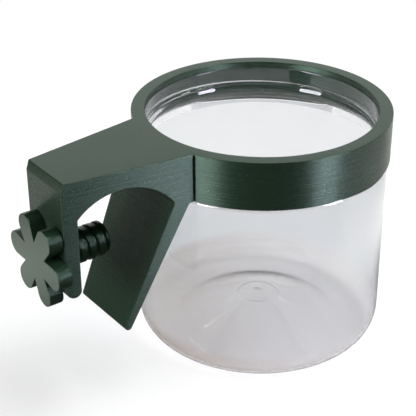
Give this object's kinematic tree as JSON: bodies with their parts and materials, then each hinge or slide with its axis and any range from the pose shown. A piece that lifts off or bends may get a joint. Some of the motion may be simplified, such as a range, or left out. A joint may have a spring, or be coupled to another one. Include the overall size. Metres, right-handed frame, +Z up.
{
  "type": "potters tool cup",
  "caption": "Clear screw-in jar hung in the collar of a printed bracket that clamps to a potter's wheel splash pan with a petal-knob thumbscrew.",
  "frame": {"origin": "centre of the footprint of the whole part, on the plane of the jar's foot", "axes": "+Z up along the jar, -X along the arm towards the thumbscrew's knob, +Y to complete a right-handed frame"},
  "size_m": [0.1392, 0.092, 0.0878],
  "materials": {
    "green_print": "satin printed plastic, dark green, with fine layer lines",
    "clear_jar": "clear glossy blow-moulded plastic"
  },
  "bodies": {
    "bracket": {"clamp_bracket": "green_print"},
    "screw_travel": {"thumbscrew_nose": "green_print"},
    "screw": {"thumbscrew": "green_print"},
    "jar_travel": {"jar_body": "clear_jar"},
    "jar": {"jar_neck": "clear_jar"}
  },
  "joints": [
    {"name": "screw_slide", "type": "slide", "parent": "bracket", "child": "screw_travel", "axis": [-1, 0, 0], "range_m": [0, 0.014]},
    {"name": "screw_turn", "type": "hinge", "parent": "screw_travel", "child": "screw", "pos_m": [-0.0592, 0, 0.0577], "axis": [-1, 0, 0], "range_deg": [0, 1440]},
    {"name": "jar_slide", "type": "slide", "parent": "bracket", "child": "jar_travel", "axis": [0, 0, -1], "range_m": [0, 0.00508]},
    {"name": "jar_turn", "type": "hinge", "parent": "jar_travel", "child": "jar", "pos_m": [0.02355, 0, 0.0705], "axis": [0, 0, -1], "range_deg": [0, 360]}
  ],
  "couplings": [
    {"joint": "screw_slide", "follows": "screw_turn", "m_per_rad": 0.00055704},
    {"joint": "jar_slide", "follows": "jar_turn", "m_per_rad": 0.00080851}
  ]
}
